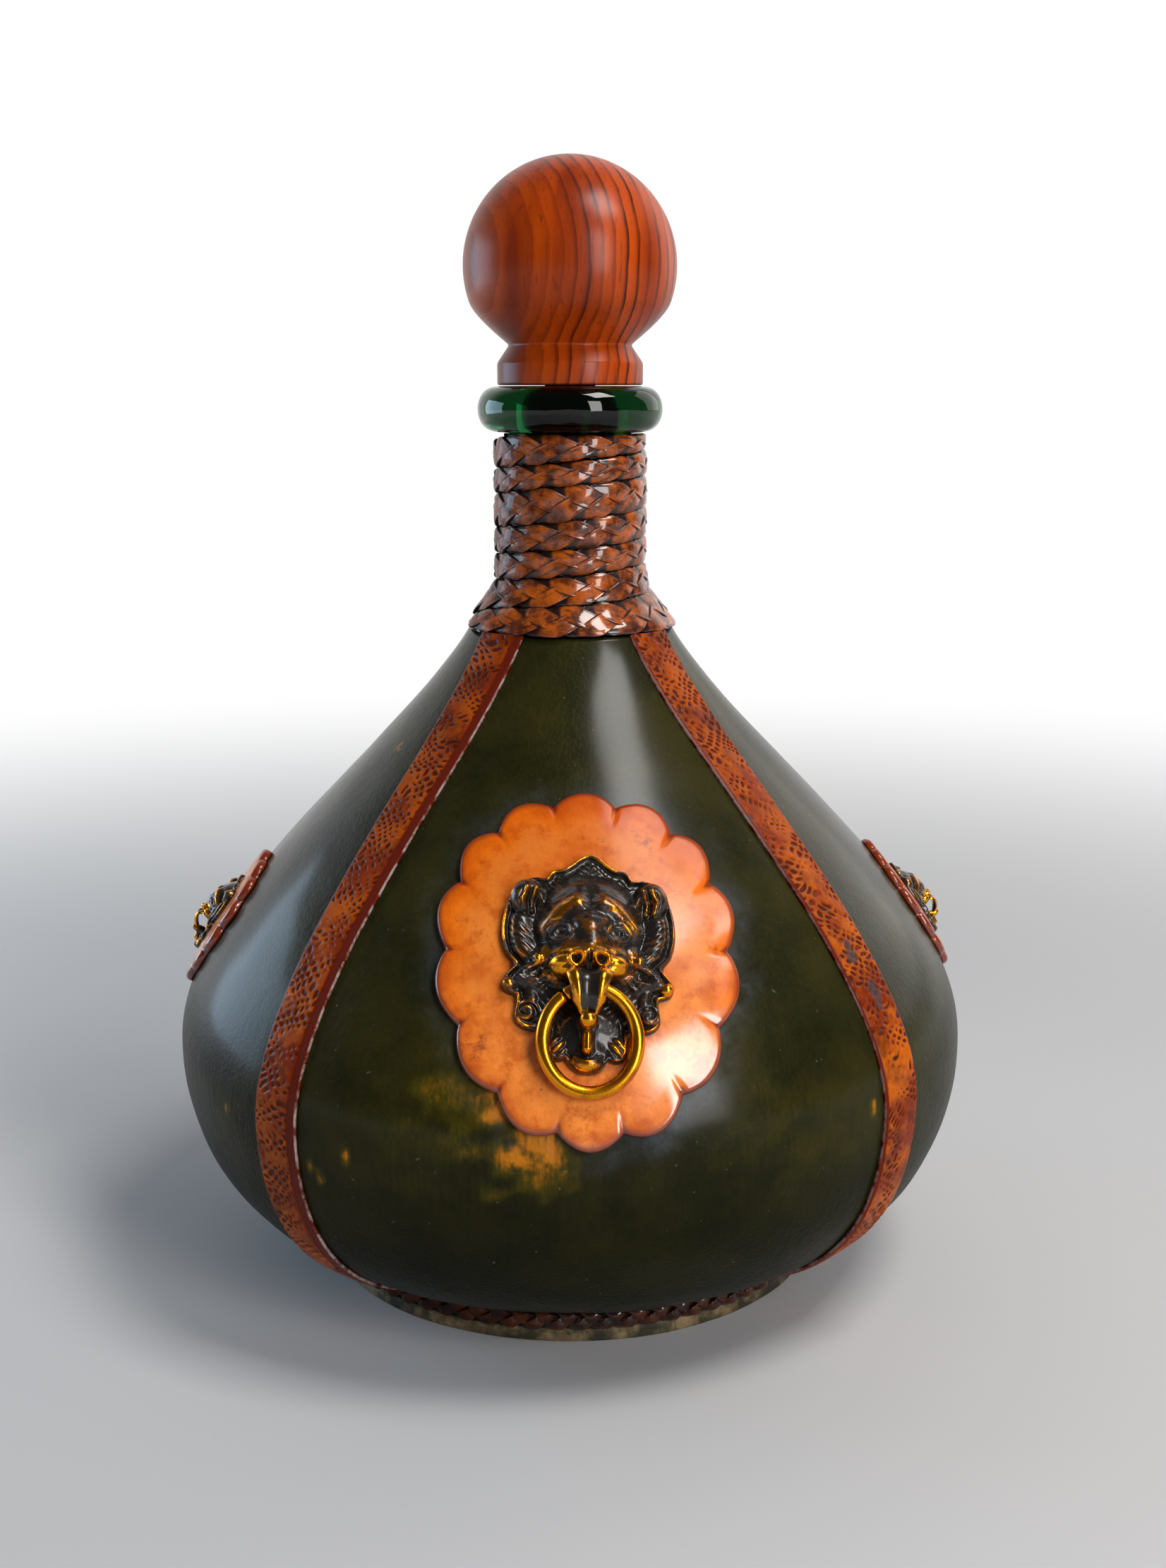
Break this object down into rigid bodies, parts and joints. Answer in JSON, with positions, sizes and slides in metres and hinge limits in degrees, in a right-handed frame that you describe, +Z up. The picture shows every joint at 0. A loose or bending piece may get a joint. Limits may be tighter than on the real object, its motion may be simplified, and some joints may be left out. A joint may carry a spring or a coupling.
{
  "type": "leather-wrapped bottle",
  "caption": "Onion-shaped glass bottle wrapped in leather panels and straps, with scalloped medallions, brass lion masks, a swinging ring pull, plaited bands and a wooden ball stopper.",
  "frame": {"origin": "centre of the sole's lower face, on the bottle's axis", "axes": "+Z up along the bottle's axis, -Y towards the front medallion, +X to the right as seen from the front"},
  "size_m": [0.2318, 0.2337, 0.32],
  "materials": {
    "green_glass": "dark bottle green, glossy",
    "green_leather": "dark olive leather, glossy varnish with worn ochre scuffs",
    "strap_leather": "red-brown leather embossed with a criss-cross pattern",
    "tan_leather": "tan leather, burnished edges, glossy",
    "braid_leather": "brown plaited leather, satin gloss",
    "sole_leather": "worn ochre green leather edge",
    "aged_brass": "antique brass, dark patina with polished high spots",
    "ring_brass": "polished brass",
    "turned_wood": "turned red-brown hardwood, satin varnish",
    "cork": "dark stained plug"
  },
  "bodies": {
    "bottle": {"glass_bottle": "green_glass", "panel_front": "green_leather", "panel_right": "green_leather", "panel_back": "green_leather", "panel_left": "green_leather", "strap_front_right": "strap_leather", "strap_back_right": "strap_leather", "strap_back_left": "strap_leather", "strap_front_left": "strap_leather", "medallion_front": "tan_leather", "medallion_right": "tan_leather", "medallion_left": "tan_leather", "mask_front": "aged_brass", "mask_right": "aged_brass", "mask_left": "aged_brass", "neck_braid": "braid_leather", "foot_braid": "braid_leather", "sole": "sole_leather"},
    "stopper": {"stopper_knob": "turned_wood", "stopper_cork": "cork"},
    "ring": {"pull_ring": "ring_brass"}
  },
  "joints": [
    {"name": "stopper_lift", "type": "slide", "parent": "bottle", "child": "stopper", "axis": [0, 0, 1], "range_m": [0, 0.045]},
    {"name": "ring_swing", "type": "hinge", "parent": "bottle", "child": "ring", "pos_m": [-0.00266, -0.10597, 0.11252], "axis": [-1, 0, 0], "range_deg": [0, 110]}
  ]
}
